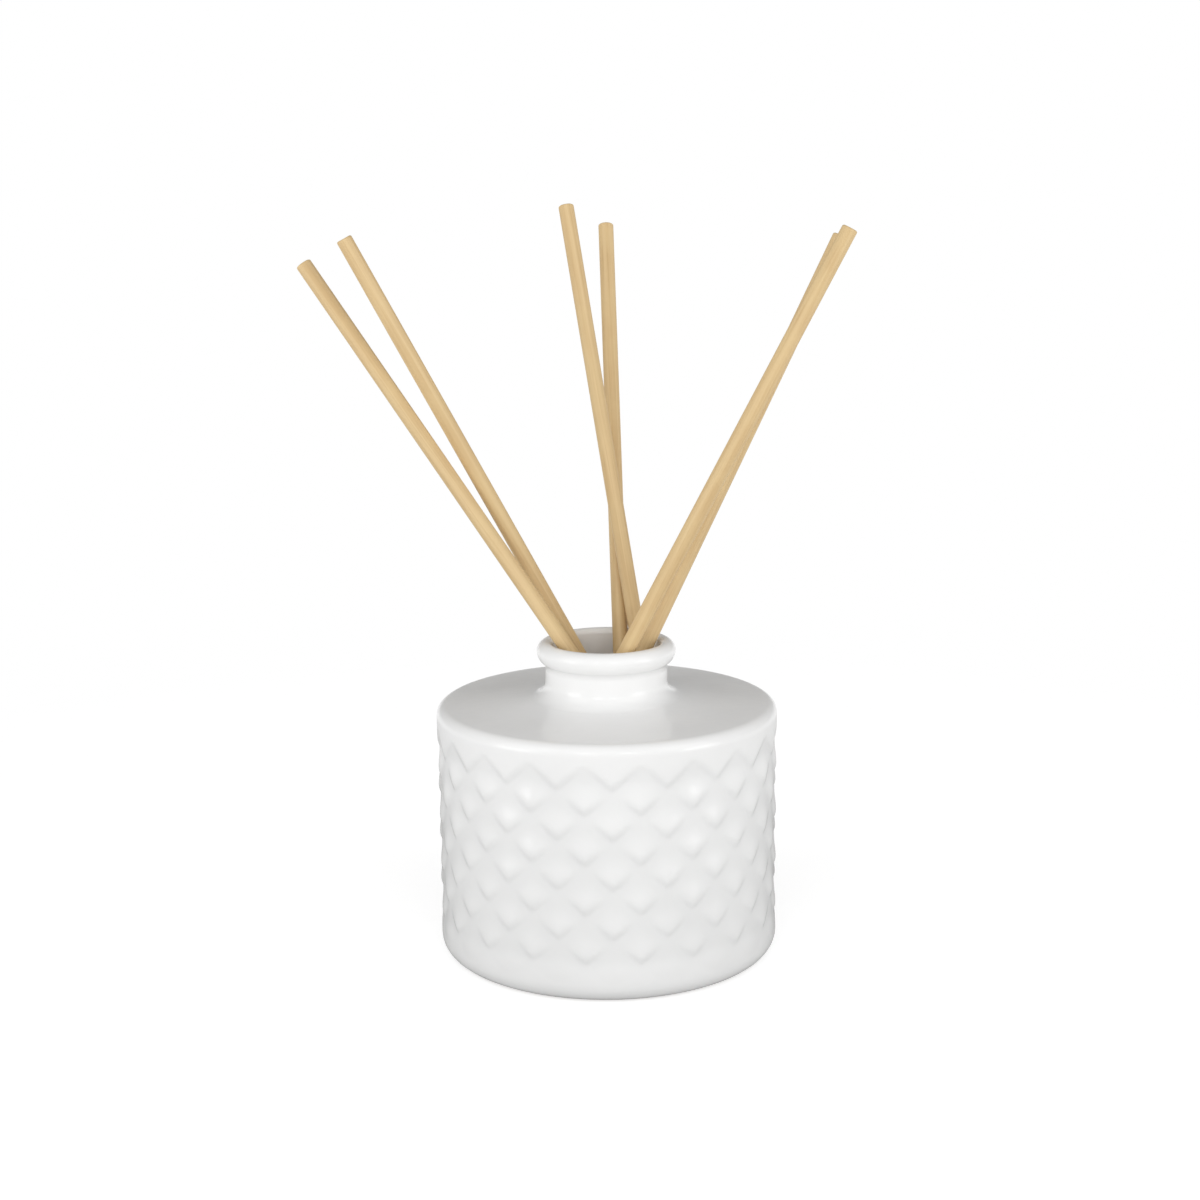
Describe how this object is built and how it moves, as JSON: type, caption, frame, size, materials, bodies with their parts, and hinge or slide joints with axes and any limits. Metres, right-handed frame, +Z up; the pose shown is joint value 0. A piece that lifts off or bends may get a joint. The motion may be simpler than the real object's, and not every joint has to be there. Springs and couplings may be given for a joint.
{
  "type": "reed diffuser",
  "caption": "Round glazed ceramic jar with a quilted diamond relief and a short lipped neck, holding fragrance oil and loose rattan reeds that wick it into the air.",
  "frame": {"origin": "centre of the jar's foot, on the jar's axis, in the plane it stands on", "axes": "+Z up along the jar's axis; -Y is the front of the jar, where it is looked at from, and +X is to the right"},
  "size_m": [0.1347, 0.097, 0.1853],
  "materials": {
    "white_glaze": "gloss",
    "oil": "gloss",
    "rattan": "matte"
  },
  "bodies": {
    "jar": {"ceramic_jar": "white_glaze", "fragrance_oil": "oil"},
    "reed_1": {"reed_1": "rattan"},
    "reed_2": {"reed_2": "rattan"},
    "reed_3": {"reed_3": "rattan"},
    "reed_4": {"reed_4": "rattan"},
    "reed_5": {"reed_5": "rattan"},
    "reed_6": {"reed_6": "rattan"}
  },
  "joints": [
    {"name": "reed_1_lift", "type": "slide", "parent": "jar", "child": "reed_1", "axis": [-0.556, 0.1081, 0.8241], "range_m": [0, 0.19]},
    {"name": "reed_2_lift", "type": "slide", "parent": "jar", "child": "reed_2", "axis": [-0.4683, -0.0327, 0.8829], "range_m": [0, 0.19]},
    {"name": "reed_3_lift", "type": "slide", "parent": "jar", "child": "reed_3", "axis": [-0.1528, 0.2875, 0.9455], "range_m": [0, 0.19]},
    {"name": "reed_4_lift", "type": "slide", "parent": "jar", "child": "reed_4", "axis": [-0.0239, 0.39, 0.9205], "range_m": [0, 0.19]},
    {"name": "reed_5_lift", "type": "slide", "parent": "jar", "child": "reed_5", "axis": [0.4686, 0.0287, 0.8829], "range_m": [0, 0.19]},
    {"name": "reed_6_lift", "type": "slide", "parent": "jar", "child": "reed_6", "axis": [0.4356, 0.0966, 0.8949], "range_m": [0, 0.19]}
  ]
}
